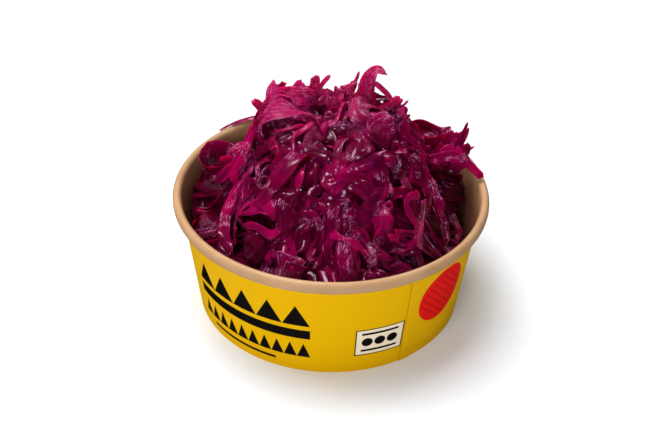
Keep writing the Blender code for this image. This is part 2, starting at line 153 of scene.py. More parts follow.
# Shreds that stand out of the heap. Each has the point that its face is turned away from, which is in the
# heap's middle, under the lip, or behind the heap's left, right, top or sides; how far it curls across and
# its face is rolled at either end, in degrees; and places along it as (x, y, z, width). Lengths are in mm.
MIDDLE, UNDER = (0, 5, 40), (-45, 52, -60)
LEFT, RIGHT, TOP, SIDES = (-25, 92, 40), (58, 100, 10), (16, 98, 45), (0, 80, 0)
STANDING_SHREDS = (
    # the broad curl at the very top, which bends over to the right, and the strands that hang from it
    (TOP, 90, (-20, 30), (14.5, 18, 90, 13), (14, 18, 99, 10), (15, 18.5, 106, 7.5), (17.5, 19, 110.5, 6),
     (20.5, 19, 112.5, 4.5), (24, 18, 111, 3)),
    (TOP, 80, (30, 60), (19, 20, 90, 7), (18, 20, 98, 6), (18, 20, 105, 5), (19.5, 20, 110, 4)),
    (TOP, 20, (0, 30), (19, 17, 107, 2.6), (22, 16.5, 104.5, 2.6), (25.5, 16, 101, 2.6), (28, 15, 97, 3)),
    # short ends that point up from the top
    (TOP, 30, (0, 30), (2, 19, 98, 5), (5, 19, 102.5, 3), (9.5, 19, 106, 2), (11.6, 19, 111.5, 1.6)),
    (TOP, 60, (10, -10), (-10, 18, 92, 7), (-9.3, 17.5, 102, 5.4), (-8.3, 17, 110, 4)),
    (TOP, 30, (20, 0), (-7.5, 18, 98, 3), (-5.6, 17.5, 105, 2.4), (-2, 17, 110.3, 2)),
    (TOP, 60, (-20, 20), (-16, 18, 92, 6), (-15, 18, 99, 5.5), (-12, 18, 103, 5)),
    # the leaves at the top left, and the ends that point out beside them
    (LEFT, -130, (-10, 10), (-27.5, 14, 86, 11), (-27.5, 14, 95, 12), (-27.3, 14, 101, 12),
     (-26, 14, 105.5, 9)),
    (LEFT, 45, (0, -10), (-32, 12, 91, 7), (-27.5, 11, 97.5, 10), (-21.5, 11, 101, 11), (-15, 12, 102, 10),
     (-9, 14, 99, 8)),
    (TOP, 70, (0, 10), (-20, 18, 90, 9), (-17, 18, 98, 9), (-14, 18, 105.5, 8)),
    (LEFT, 80, (-20, 20), (-35, 9, 86, 7), (-31, 7, 92, 9), (-26, 6, 95, 9), (-19, 6, 96, 8),
     (-12, 8, 93, 7)),
    (MIDDLE, 70, (0, 30), (-26, 24, 88, 9), (-26, 22, 97, 8), (-24, 20, 104, 6)),
    (LEFT, 60, (0, 20), (-27, 10, 89, 5), (-32, 10, 95, 4.6), (-36.8, 10, 100.5, 4.2)),
    # the broad strands that run down the left side
    (SIDES, 50, (-15, 20), (-27, 7, 94, 8), (-31.5, 6, 88, 9), (-36, 5, 79, 9), (-41, 2, 70, 9),
     (-46, -3, 62, 7)),
    (SIDES, -60, (10, -20), (-22, 1, 94, 7), (-26, -3, 86, 8), (-31, -6, 78, 8), (-36, -10, 69, 8),
     (-39, -16, 60, 7)),
    (SIDES, 60, (20, 0), (-30, 12, 88, 6), (-35, 10, 82, 7), (-41, 8, 72, 7), (-48, 6, 64, 6),
     (-55, 5, 58, 5)),
    (SIDES, 60, (0, 20), (-31, 22, 84, 8), (-36, 22, 76, 8), (-40, 22, 68, 8), (-45, 22, 60, 7)),
    # the thick ends on the right shoulder
    (MIDDLE, 80, (10, 30), (19, 15, 90, 7), (25, 14, 95, 7), (29, 13, 98.5, 6.5), (31, 13, 101.5, 5.5)),
    (SIDES, 60, (-20, 20), (24, 12, 86, 6), (30, 11, 91, 6), (34, 10, 95, 5)),
    # the broad strands that run down the right side
    (SIDES, 60, (0, 20), (24, 12, 94, 7), (30, 10, 89, 8), (36, 8, 81, 8), (41, 5, 72, 8), (44, 0, 63, 6)),
    (SIDES, -60, (-20, 10), (20, 0, 92, 7), (28, -3, 85, 8), (35, -6, 76, 8), (41, -10, 67, 8),
     (45, -15, 58, 7)),
    (SIDES, 60, (10, -10), (28, 22, 90, 8), (34, 22, 83, 8), (39, 20, 76, 8), (44, 16, 69, 7)),
    # the strands along the back left of the lip
    (UNDER, 20, (0, 0), (-57, 47, 60.4, 1.5), (-53.5, 51, 60.6, 1.8), (-49.5, 54.5, 60.8, 2),
     (-45.5, 57.3, 61.1, 2.1), (-41.5, 58.6, 61.7, 2.2), (-37.5, 57.5, 62, 2.3), (-34, 53, 60, 2.8),
     (-29, 46, 55, 4)),
    (UNDER, 20, (0, 0), (-51, 52, 60.6, 1.2), (-47, 55, 60.9, 1.5), (-42.5, 56.8, 61.3, 1.6),
     (-38, 55.5, 61.3, 1.8), (-34, 51, 58, 2.4)),
    # the curl at the left edge, and the leaves between it and the tower
    ((-55, 22, 38), 25, (90, 90), (-40, 17, 57, 6), (-47, 16, 58.5, 7), (-54, 13, 59.3, 8),
     (-59.5, 12.8, 59, 8), (-62.8, 18.5, 58.8, 8.5), (-62.5, 25.5, 58.8, 8.5), (-59.5, 31.5, 59, 8),
     (-53, 33.5, 58.6, 7), (-46, 32, 57.5, 6)),
    (SIDES, -40, (10, -10), (-60, 31, 45, 8), (-57, 32, 50, 10), (-52, 32, 53, 10), (-46, 31, 55, 9)),
    (SIDES, -50, (10, -10), (-53, 30, 54, 7), (-48, 29, 60, 8), (-42, 27, 63, 9), (-36, 24, 65, 9)),
    (SIDES, 60, (-10, 20), (-47, 23, 56, 7), (-43, 21, 61, 8), (-38, 18, 65, 8), (-34, 14, 70, 8)),
    (SIDES, -40, (10, -10), (-62, 24, 44, 8), (-58, 25, 51, 9), (-52, 24, 54, 9), (-46, 21, 55, 8)),
    (SIDES, 60, (0, -20), (-50, 12, 54, 8), (-45, 12, 59, 9), (-39, 12, 61, 9), (-33, 10, 62, 8)),
    # the ring at the back right
    ((46, 32, -40), 15, (90, 90), (36, 33, 69, 4), (37, 37, 70.5, 5), (42.5, 39.5, 71.2, 6),
     (48.5, 38.5, 70.5, 6), (54, 35, 70, 5.5), (57, 30, 73.5, 5), (54.5, 26, 73.5, 5), (49, 25, 71.5, 5),
     (44, 25, 71.5, 5), (37, 26, 71, 5)),
    (RIGHT, -60, (0, 10), (30, 46, 55, 10), (37, 48, 61, 11), (45, 46, 63, 11), (52, 41, 61, 9),
     (57, 34, 56, 8)),
    (RIGHT, 60, (-20, 20), (44, 21, 71, 6), (46, 20, 66, 5.5), (48.5, 19, 60, 4)),
    (RIGHT, -60, (20, -20), (55, 21, 71, 6), (52, 20, 66.5, 6), (49.5, 19, 60, 4)),
    # the clump on the right that leans on the lip
    (RIGHT, 70, (-20, 20), (50, 24, 58, 8), (54, 24, 66, 9), (56.5, 24, 73, 8), (57.5, 24, 78, 5)),
    (RIGHT, -80, (20, -20), (54, 22, 58, 8), (58, 22, 66, 9), (60.5, 22, 73, 8), (61, 22, 78.5, 4.5)),
    (RIGHT, 70, (0, 20), (58, 20, 58, 8), (62, 20, 65, 8), (64, 19, 70, 6), (64.5, 19, 74, 4)),
    (RIGHT, -70, (-20, 20), (60, 17, 60, 6), (63, 17, 64.5, 6), (64, 16, 68, 4)),
    (RIGHT, 60, (0, 40), (60, 23, 70, 4), (62.5, 22.5, 77, 2.4), (64.3, 22, 84, 1.5)),
    (RIGHT, 60, (60, 20), (62, 23, 70, 4), (64, 22.5, 76, 2.2), (65, 22, 81, 1.4)),
    (RIGHT, 60, (30, -20), (46, 17, 62, 6), (52, 17, 67, 6), (58, 15.5, 68.5, 5.5), (64, 13.5, 67, 5),
     (69, 10.5, 64, 4.5), (72, 7.5, 62.3, 3.5)),
    (RIGHT, -90, (-30, 30), (52, 19, 68, 4), (57, 19.5, 71, 4.5), (61.5, 18, 70.5, 4), (64, 15.5, 67.5, 3)),
    (RIGHT, -60, (0, 30), (46, 17, 60, 5), (52, 17.5, 64, 4.5), (58, 16.5, 65.5, 4), (62, 15, 64.5, 3.5)),
    (MIDDLE, -60, (0, 10), (46, 30, 56, 8), (53, 29, 64, 8), (59, 27, 67, 8), (63, 23, 64, 7)),
    (SIDES, 60, (0, 30), (40, 18, 60, 7), (45.5, 17, 65, 7), (50.5, 16, 66, 7), (54, 16, 61, 6)),
    # strands that hang down beside the hollow on the right
    (SIDES, 70, (0, 40), (38, 4, 74, 5), (45, -3, 67, 6), (51, -13, 57, 6), (53, -24, 49, 6),
     (50, -32, 44, 5)),
    # strands that hang down the front
    (MIDDLE, 60, (-10, 20), (-16, -30, 80, 6), (-18, -46, 66, 7), (-17, -58, 56, 7), (-16, -64, 50, 6)),
    (MIDDLE, -50, (0, 20), (10, -34, 78, 8), (8, -48, 68, 9), (8, -59, 58, 9), (10, -65, 51, 7)),
    (SIDES, 60, (-20, 20), (-42, -6, 66, 6), (-47, -20, 60, 6), (-48, -34, 54, 7), (-45, -44, 48, 6)),
)
# Tufts of short ends, in mm: the middle of each tuft and the way it points, how many ends it has, how far
# they are spread along each axis, and the least and greatest length and width of one.
TUFTS = (
    ((59, 22, 66), (0.1, -0.05, 1), 8, (3, 4, 2), (5, 9), (4, 6)),
    ((59.5, 17, 66.5), (0.6, -0.4, -0.1), 6, (3, 2, 1.5), (4, 6.5), (3, 4.5)),
    ((50, 32, 60), (0, 0, 1), 6, (6, 4, 2), (6, 9), (4, 7)),
    ((-12, 19, 94), (-0.1, 0, 1), 6, (9, 5, 2), (6, 10), (4, 7)),
    ((8, 17, 94), (0.2, 0, 1), 6, (6, 5, 2), (6, 10), (4, 7)),
    ((27, 13, 91), (0.7, -0.1, 0.8), 7, (4, 5, 3), (6, 10), (4, 6.5)),
    ((-45, 24, 57), (-0.3, 0, 1), 6, (6, 5, 1), (6, 9), (4, 7)),
)
# How deep an end is rooted, and how far behind it is the point that it faces away from, in mm; how far it
# strays from its tuft's way; and the most that it is rolled, twisted and curled, in degrees.
TUFT_ROOT, TUFT_BACK = 5, 100
TUFT_STRAY = 0.3
TUFT_ROLL, TUFT_TWIST, TUFT_CURL = 60, 50, 140
# A standing shred is thinner and smoother where it is narrower or less curled than these.
STANDING_THICKNESS = 0.9 * MM
STANDING_SPACING = 1.3 * MM
STANDING_COLUMNS = 11
STANDING_RUFFLE = 0.9 * MM
BROAD_HALF_WIDTH = 3.5 * MM
THIN_HALF_WIDTH = 1.5 * MM
CURLED = 60


# ---- the heap's form


def compass(angle, values):
    """Blends the values for right (+X), left, back (+Y) and front by how far an angle points each way."""
    c, s = np.cos(angle), np.sin(angle)
    return sum(value * np.maximum(part, 0) ** 2 for value, part in zip(values, (c, -c, s, -s)))


def norm(vectors):
    return np.linalg.norm(vectors, axis=-1)


def unit(vectors):
    return vectors / np.maximum(norm(vectors), TINY)[..., None]


def wall_inside(z):
    """Radius of the bowl's inner wall at a height."""
    return INNER_FOOT + WALL_SLOPE * z


def lumps(x, y):
    """A gentle unevenness, from -1 to 1, that repeats nowhere within the bowl."""
    a, b = x / LUMP_LENGTH, y / LUMP_LENGTH
    return (np.sin(1.9 * a + 0.7 * b) + np.sin(2.3 * b - 0.9 * a + 1.3) + np.sin(1.2 * a + 2.9 * b + 4)) / 3


def core_height(x, y):
    """Height of the core's top, before it is drawn in, at a point of the plan."""
    ledge = compass(np.arctan2(y, x), LEDGE_HEIGHT)
    dx, dy = x - TOWER_MIDDLE[0], y - TOWER_MIDDLE[1]
    way = np.arctan2(dy, dx)
    share = np.clip(np.hypot(dx, dy) / compass(way, TOWER_REACH), 0, 1)
    tower = (1 - share ** compass(way, TOWER_POWER)) ** TOWER_FALL
    height = ledge + (TOWER_TOP - ledge) * tower
    for bumps, weight in ((LEDGE_BUMPS, 1 - tower), (TOP_BUMPS, tower)):
        for bump_x, bump_y, rise, spread in bumps:
            away = ((x - bump_x) ** 2 + (y - bump_y) ** 2) / spread**2
            height = height + rise * np.exp(-away) * weight
    return height + LUMP_HEIGHT * lumps(x, y)


def warp(points):
    """Moves points by a slow wave of the whole heap."""
    draw = random.Random(SEED)
    moved = points.copy()
    for _ in range(WARP_WAVES):
        way, push = (Vector([draw.gauss(0, 1) for _ in range(3)]).normalized() for _ in range(2))
        waves = math.tau / draw.uniform(*WARP_LENGTH)
        wave = np.sin(points @ np.array(way) * waves + draw.uniform(0, math.tau))
        moved = moved + WARP_HEIGHT * wave[..., None] * np.array(push)
    return moved


def tube_faces(count, ring):
    """Faces between the neighbouring rings of a tube, where a ring visits its points in the given order."""
    size = len(ring)
    return [
        (a + p, a + q, a + size + q, a + size + p)
        for a in range(0, (count - 1) * size, size)
        for p, q in zip(ring, ring[1:] + ring[:1])
    ]


def core_mesh():
    """The core before it is drawn in: it stands on the bowl's floor, clear of its wall."""
    around = list(range(CORE_SPOKES))
    angles = np.array(around) * math.tau / CORE_SPOKES
    c, s = np.cos(angles), np.sin(angles)
    edge = np.full(CORE_SPOKES, wall_inside(BOWL_HEIGHT / 2))
    for _ in range(EDGE_PASSES):
        edge = wall_inside(np.minimum(core_height(edge * c, edge * s), LIP_MIDDLE)) - CORE_CLEARANCE
    base = FLOOR_TOP + CORE_CLEARANCE / 2
    foot = wall_inside(base) - CORE_CLEARANCE
    rings = [np.stack([foot * c, foot * s, np.full(CORE_SPOKES, base)], -1)]
    for i in range(CORE_RINGS, 0, -1):
        x, y = edge * c * i / CORE_RINGS, edge * s * i / CORE_RINGS
        rings.append(np.stack([x, y, core_height(x, y)], -1))
    verts = np.concatenate([*rings, [[0, 0, float(core_height(0.0, 0.0))]]])
    last = (len(rings) - 1) * CORE_SPOKES
    faces = tube_faces(len(rings), around)
    faces += [(last + j, last + (j + 1) % CORE_SPOKES, len(verts) - 1) for j in around]
    faces.append(tuple(around[::-1]))
    return verts, faces


# ---- laying the shreds


def frames(line, outward):
    """Unit vectors across a line of points and up from it, with up as near outward as can be."""
    tangent = unit(np.gradient(line, axis=0))
    across = unit(np.cross(tangent, outward))
    return across, np.cross(across, tangent)


def rolled(across, up, angle):
    """Width and thickness vectors of a strip whose face is rolled by an angle about its own line."""
    c, s = np.cos(angle)[:, None], np.sin(angle)[:, None]
    return across * c + up * s, up * c - across * s


def columns_across(count):
    """Places across a shred, from -1 to 1, closer together at its edges."""
    return -np.cos(np.linspace(0, math.pi, count))


def middle_surface(centre, width, thick, half, sides, curl, along, share, shred):
    """Rows of points across a shred, each an arc that turns by the curl from edge to edge, ruffled, and torn
    at the shred's ends. The half width may differ at each point."""
    turn = np.where(np.abs(curl) < LEAST_CURL, LEAST_CURL, curl)[:, None] / 2
    angle = turn * sides[None]
    moves = (
        (width, half * np.sin(angle) / turn),
        (thick, half * (1 - np.cos(angle)) / turn + ruffle(along, sides, half, shred)),
        (np.cross(thick, width), oblique_ends(share, sides, half, shred)),
    )
    return centre[:, None] + sum(way[:, None] * distance[..., None] for way, distance in moves)


class Heap:
    """The heap's outer surface so far: how far it reaches from HEAP_CENTRE in each direction.

    A direction is a point of a flat map, whose distance from the middle is the angle from straight up.
    """

    def __init__(self, verts, faces):
        side = np.linspace(-MAP_ANGLE, MAP_ANGLE, MAP_CELLS)
        self.cell = side[1] - side[0]
        uv = np.stack(np.meshgrid(side, side, indexing="ij"), -1)
        tree = BVHTree.FromPolygons([tuple(v) for v in verts], faces)
        middle = Vector(HEAP_CENTRE)
        hits = [tree.ray_cast(middle, Vector(way)) for way in self.direction(uv).reshape(-1, 3)]
        self.core = np.array([distance for _, _, _, distance in hits]).reshape(uv.shape[:2])
        # How squarely each direction meets the core, which turns a distance along it into one off the core.
        self.facing = np.clip((self.outward(uv) * self.direction(uv)).sum(-1), FLATTEST, 1)
        self.limit = self.core + PRESS_START / self.facing
        self.core = self.core - CORE_INSET / np.sqrt(self.facing)
        self.reach = self.core.copy()

    @staticmethod
    def direction(uv):
        """The unit vector that a map position stands for."""
        angle = np.maximum(norm(uv), TINY)
        flat = (np.sin(angle) / angle)[..., None] * uv
        return np.concatenate([flat, np.cos(angle)[..., None]], -1)

    @staticmethod
    def place(points):
        """The map position of points, and their distance from HEAP_CENTRE."""
        away = points - HEAP_CENTRE
        distance = norm(away)
        angle = np.arccos(np.clip(away[..., 2] / distance, -1, 1))
        flat = np.maximum(norm(away[..., :2]), TINY)
        return away[..., :2] * (angle / flat)[..., None], distance

    def sample(self, grid, uv):
        """A grid's value at map positions, blended between its cells."""
        at = np.clip((uv + MAP_ANGLE) / self.cell, 0, MAP_CELLS - 1.001)
        x, y = at[..., 0].astype(int), at[..., 1].astype(int)
        a, b = at[..., 0] - x, at[..., 1] - y
        return (
            grid[x, y] * (1 - a) * (1 - b)
            + grid[x + 1, y] * a * (1 - b)
            + grid[x, y + 1] * (1 - a) * b
            + grid[x + 1, y + 1] * a * b
        )

    def outward(self, uv):
        """The core's outward normal, smoothed over a few millimetres."""
        ends = []
        for step in ((1, 0), (-1, 0), (0, 1), (0, -1)):
            moved = uv + NORMAL_ANGLE * np.array(step)
            ends.append(self.direction(moved) * self.sample(self.core, moved)[..., None])
        return unit(np.cross(ends[0] - ends[1], ends[2] - ends[3]))

    def cover(self, grid):
        """Raises the surface to a shred's grid of points, filled in until they are closer than its cells."""
        for axis in (0, 1):
            spacing = norm(np.diff(grid, axis=axis)).max()
            count = max(2, math.ceil(spacing / COVER_SPACING) + 1)
            first, last = (grid[:-1], grid[1:]) if axis == 0 else (grid[:, :-1], grid[:, 1:])
            parts = [first + (last - first) * t for t in np.linspace(0, 1, count)]
            grid = np.concatenate(parts, axis=axis)
        uv, distance = self.place(grid.reshape(-1, 3))
        at = np.clip(np.round((uv + MAP_ANGLE) / self.cell).astype(int), 0, MAP_CELLS - 1)
        np.maximum.at(self.reach, (at[:, 0], at[:, 1]), distance)

    def press(self, points):
        """Presses what stands too far out of the heap in towards its middle."""
        uv, distance = self.place(points)
        limit = self.sample(self.limit, uv)
        depth = PRESS_DEPTH / self.sample(self.facing, uv)
        over = np.maximum(distance - limit, 0)
        pressed = np.minimum(distance, limit) + depth * (1 - np.exp(-over / depth))
        return HEAP_CENTRE + (points - HEAP_CENTRE) * (pressed / distance)[..., None]

    def walk(self, shred, count):
        """Map positions of a shred's sections, walked over the core both ways from its middle."""
        middle = count // 2
        step = shred.length / (count - 1)
        uv = np.zeros((count, 2))
        uv[middle] = shred.at
        for sign, steps in ((1, count - middle), (-1, middle + 1)):
            here = shred.at
            for k in range(1, steps):
                share = sign * k / count
                heading = shred.heading + shred.bend * share + shred.swerve * math.sin(9 * share)
                angle = step / self.sample(self.core, here)
                here = here + sign * angle * np.array((math.cos(heading), math.sin(heading)))
                uv[middle + sign * k] = here
        return uv, (np.arange(count) - middle) * step

    def barest_spot(self, draw):
        """The direction, of a few random ones, where the least lies over the core so far."""
        best, least = None, math.inf
        for _ in range(SPOTS_TRIED):
            angle, way = WIDEST_ANGLE * math.sqrt(draw.random()), draw.uniform(0, math.tau)
            uv = np.array((angle * math.cos(way), angle * math.sin(way)))
            spot = HEAP_CENTRE + self.direction(uv) * self.sample(self.core, uv)
            if math.hypot(spot[0], spot[1]) > wall_inside(spot[2]) - WALL_MARGIN:
                continue
            near = uv + NORMAL_ANGLE * np.array(((0, 0), (1, 0), (-1, 0), (0, 1), (0, -1)))
            covered = (self.sample(self.reach, near) - self.sample(self.core, near)).mean()
            covered *= self.sample(self.facing, uv)
            if covered < least:
                best, least = uv, covered
        return best

    def lay(self, shred):
        """Drapes a shred over the heap and returns the grid of points of its middle surface.

        Each point is lifted until it clears what lies below, and the lift is spread as far round it as the
        shred's suppleness lets it. A shred on its edge is lifted a whole section at a time.
        """
        count = max(FEWEST_SECTIONS, round(shred.length / SECTION_LENGTH)) + 1
        uv, along = self.walk(shred, count)
        normal = self.outward(uv)
        ground = HEAP_CENTRE + self.direction(uv) * self.sample(self.core, uv)[..., None]
        across, up = frames(ground, normal)
        share = 2 * along / shred.length
        tilt = shred.tilt + shred.twist * share / 2
        width, thick = rolled(across, up, tilt)
        sides = columns_across(shred.columns)
        half = shred.width / 2 * outline(share, sides, shred)
        curl = shred.curl * (1 + shred.unroll * share)
        grid = middle_surface(ground, width, thick, half, sides, curl, along, share, shred)
        flat = np.stack(np.broadcast_arrays(along[:, None], half * sides[None]), -1).reshape(-1, 2)
        apart = ((flat[:, None] - flat[None]) ** 2).sum(-1) * shred.supple
        level = (np.cos(tilt) ** 2)[:, None]
        lift = np.zeros(grid.shape[:2])
        facing = self.sample(self.facing, uv)[:, None]
        for _ in range(LIFT_PASSES):
            there, distance = self.place(grid + normal[:, None] * lift[..., None])
            need = (self.sample(self.reach, there) - distance) * facing + shred.thickness / 2 - SINK
            lift = lift + need * level + need.max(1, keepdims=True) * (1 - level)
            lift = (lift.reshape(1, -1) - apart).max(1).reshape(lift.shape)
        rise = shred.arch * (1 - share**2) ** 2 + np.where(share > 0, *shred.ends) * np.abs(share) ** 3
        return grid + normal[:, None] * (lift + rise[:, None])[..., None], along, half


def outline(share, sides, shred):
    """A shred's width along it, as a share of its full width: uneven, and narrower at its ends."""
    phase = shred.phase + np.where(sides > 0, 2.3, 0)[None]
    share = share[:, None]
    uneven = 1 + 0.17 * np.sin(3.3 * share + phase) + 0.1 * np.sin(8.3 * share + 2 * phase)
    end = 1 - (1 - shred.taper) * np.abs(share) ** 4
    tip = np.sqrt(np.clip((1.01 - np.abs(share)) / 0.06, 0.5, 1))
    return uneven * end * tip


def oblique_ends(share, sides, half, shred):
    """How far each point is moved along the shred, so that its ends are cut at a slant and torn a little."""
    teeth = np.sin(4 * sides + shred.phase) + np.sin(9 * sides + 2 * shred.phase) / 2
    return (shred.slant * half * sides[None] + shred.torn * teeth[None]) * (share**8)[:, None]


def ruffle(along, sides, half, shred):
    """How far a shred's surface waves up and down: at its edges, in pleats along it, and all over."""
    waves = math.tau * along[:, None] / shred.ruffle_length
    step = shred.phase + np.where(sides > 0, 2.1, 0)[None]
    edge = shred.ruffle * sides[None] ** 2 * np.sin(waves + step)
    crumple = np.sin(2.3 * waves + 2.5 * sides[None] + step) * np.cos(1.4 * waves - 3 * sides[None])
    pleats = np.sin(math.tau * half * sides[None] / shred.pleat_length + 0.7 * waves + 3 * shred.phase)
    return edge + shred.crumple * crumple + shred.pleat * pleats


def keep_off_wall(grid):
    """Moves each section of a shred in from the bowl's wall and lip, as far as its width needs."""
    radius = np.hypot(grid[..., 0], grid[..., 1])
    room = np.minimum(wall_inside(grid[..., 2]), RIM_RADIUS - LIP_WIDTH) - WALL_GAP
    over = np.maximum(radius - room, 0).max(1)
    away = np.maximum(radius.mean(1), MM)
    moved = grid.copy()
    moved[..., :2] *= ((away - over) / away)[:, None, None]
    return moved, over < MOST_MOVED


def clear_of_hollows(grid):
    """True at each section of a shred that stays out of the open spaces."""
    clear = np.ones(len(grid), bool)
    x, y, z = grid.mean(1).T
    for left, right, front, back, bottom in HOLLOWS:
        clear &= ~((x > left) & (x < right) & (y > front) & (y < back) & (z > bottom))
    return clear


def longest_run(allowed):
    """The longest unbroken stretch of True, as a slice."""
    ends = np.flatnonzero(np.diff([False, *allowed, False])).reshape(-1, 2)
    return slice(*max(ends.tolist(), key=lambda run: run[1] - run[0], default=(0, 0)))


def draw_shred(name, draw, heap):
    """One shred's own sizes and place, drawn within its kind's."""
    kind = SHRED_KINDS[name]
    at = heap.barest_spot(draw)
    if at is None:
        return None
    angle, way = norm(at), math.atan2(at[1], at[0])
    steep = 1 - max(0, heap.outward(at)[2])

    def within(most):
        return math.radians(draw.triangular(-1, 1, 0) * most)

    return SimpleNamespace(
        kind=name,
        at=at,
        heading=way + draw.uniform(-1, 1) * (math.pi if angle < TOP_ANGLE else SIDE_SPREAD),
        length=draw.uniform(*kind.length) * (1 - STEEP_SHORTER * steep) * MM,
        width=draw.uniform(*kind.width) * MM,
        thickness=draw.uniform(*kind.thickness) * MM,
        bend=within(kind.bend),
        swerve=draw.uniform(-1.1, 1.1),
        tilt=math.radians(draw.uniform(-1, 1) * kind.tilt) * (0.5 + steep),
        twist=within(kind.twist),
        curl=within(kind.curl),
        unroll=draw.uniform(-0.8, 0.8),
        ruffle=kind.ruffle * draw.uniform(0.2, 1) * MM,
        ruffle_length=draw.uniform(*RUFFLE_LENGTH),
        crumple=draw.uniform(*CRUMPLE),
        pleat=kind.pleat * draw.uniform(0, 1) * MM,
        pleat_length=draw.uniform(*PLEAT_LENGTH),
        slant=draw.uniform(-1, 1),
        phase=draw.uniform(0, math.tau),
        ends=(draw.uniform(*kind.ends) * MM, draw.uniform(*kind.ends) * MM),
        arch=kind.arch * MM * max(0, draw.uniform(-1.5, 1)),
        supple=kind.supple,
        columns=kind.columns,
        taper=kind.taper,
        torn=TORN_ENDS,
        tone=draw.random(),
    )


def laid_shreds(heap):
    """Every shred laid over the heap, the kinds mixed, each on those before it."""
    draw = random.Random(SEED)
    order = [name for name, kind in SHRED_KINDS.items() for _ in range(kind.count)]
    draw.shuffle(order)
    shreds = []
    for name in order:
        shred = draw_shred(name, draw, heap)
        if shred is None:
            continue
        grid, along, half = heap.lay(shred)
        grid, near_enough = keep_off_wall(grid)
        keep = longest_run(near_enough & clear_of_hollows(grid))
        if keep.stop - keep.start < FEWEST_SECTIONS:
            continue
        heap.cover(grid[keep])
        shred.grid, shred.along, shred.half = grid[keep], along[keep], half[keep]
        shreds.append(shred)
    return shreds


def curve_through(knots, count):
    """Evenly spaced samples of a smooth curve through a few rows of numbers."""
    knots = np.array(knots, float)
    ends = np.vstack([2 * knots[0] - knots[1], knots, 2 * knots[-1] - knots[-2]])
    rows = []
    for k in np.linspace(0, len(knots) - 1, count):
        i = min(int(k), len(knots) - 2)
        t = k - i
        a, b, c, d = ends[i : i + 4]
        square, cube = 2 * a - 5 * b + 4 * c - d, 3 * b - a - 3 * c + d
        rows.append((2 * b + (c - a) * t + square * t**2 + cube * t**3) / 2)
    return np.array(rows)


def tuft_shreds(draw):
    """The ends that make up the tufts, in the terms of STANDING_SHREDS."""
    ends = []
    for middle, way, count, spread, lengths, widths in TUFTS:
        for _ in range(count):
            root = np.array([draw.gauss(at, reach / 2) for at, reach in zip(middle, spread)])
            heading = unit(np.array([draw.gauss(part, TUFT_STRAY) for part in way]))
            length, width = draw.uniform(*lengths), draw.uniform(*widths)
            bow = np.array([draw.gauss(0, length / 8) for _ in range(3)])
            facing = draw.uniform(0, math.tau)
            behind = root - TUFT_BACK * np.array((math.cos(facing), math.sin(facing), 0.3))
            roll = draw.uniform(-TUFT_ROLL, TUFT_ROLL)
            turned = roll + draw.uniform(-TUFT_TWIST, TUFT_TWIST)
            curl = draw.uniform(-TUFT_CURL, TUFT_CURL)
            ends.append((
                behind, curl, (roll, turned),
                (*(root - heading * TUFT_ROOT), width),
                (*(root + bow / 3), width),
                (*(root + heading * length / 2 + bow), 0.95 * width),
                (*(root + heading * length), 0.85 * width),
            ))
    return ends


def standing_shreds():
    """The shreds that stand out of the heap, each with the grid of points of its middle surface."""
    draw = random.Random(SEED + 1)
    sides = columns_across(STANDING_COLUMNS)
    shreds = []
    for behind, curl, roll, *places in (*STANDING_SHREDS, *tuft_shreds(draw)):
        knots = np.array(places) * MM
        length = norm(np.diff(knots[:, :3], axis=0)).sum()
        rows = curve_through(knots, round(length / STANDING_SPACING))
        centre, half = rows[:, :3], rows[:, 3] / 2
        across, up = frames(centre, centre - np.array(behind) * MM)
        width, thick = rolled(across, up, np.radians(np.linspace(*roll, len(centre))))
        along = np.linspace(0, length, len(centre))
        broad = min(1, half.mean() / BROAD_HALF_WIDTH, math.sqrt(abs(curl) / CURLED))
        shred = SimpleNamespace(
            thickness=STANDING_THICKNESS * min(1, half.mean() / THIN_HALF_WIDTH),
            ruffle=STANDING_RUFFLE * draw.uniform(0.5, 1) * broad**2,
            ruffle_length=draw.uniform(*RUFFLE_LENGTH),
            crumple=draw.uniform(*CRUMPLE) * broad**2,
            pleat=STANDING_RUFFLE * draw.uniform(0.3, 1) * broad**2,
            pleat_length=draw.uniform(*PLEAT_LENGTH),
            slant=draw.uniform(-0.5, 0.5) * broad,
            phase=draw.uniform(0, math.tau),
            torn=TORN_ENDS * broad,
            tone=draw.uniform(0.3, 1),
            along=along,
        )
        tip = np.sqrt(np.clip((length - along) / MM, 0.3, 1))
        uneven = 1 + 0.12 * np.sin(along / (3 * MM) + shred.phase)
        shred.half = (half * tip * uneven)[:, None] * np.ones_like(sides)[None]
        curls = np.full(len(centre), math.radians(curl))
        share = along / length
        shred.grid = middle_surface(centre, width, thick, shred.half, sides, curls, along, share, shred)
        shreds.append(shred)
    return shreds


# ---- building meshes


def new_piece(name, mesh, material, node):
    """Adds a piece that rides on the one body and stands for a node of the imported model."""
    piece = bpy.data.objects.new(name, mesh)
    bpy.context.scene.collection.objects.link(piece)
    mesh.materials.append(material)
    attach(piece, "root")
    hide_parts(node)


def smooth_mesh(name, verts, faces):
    mesh = bpy.data.meshes.new(name)
    mesh.from_pydata([tuple(v) for v in verts], [], faces)
    mesh.validate()
    mesh.shade_smooth()
    return mesh


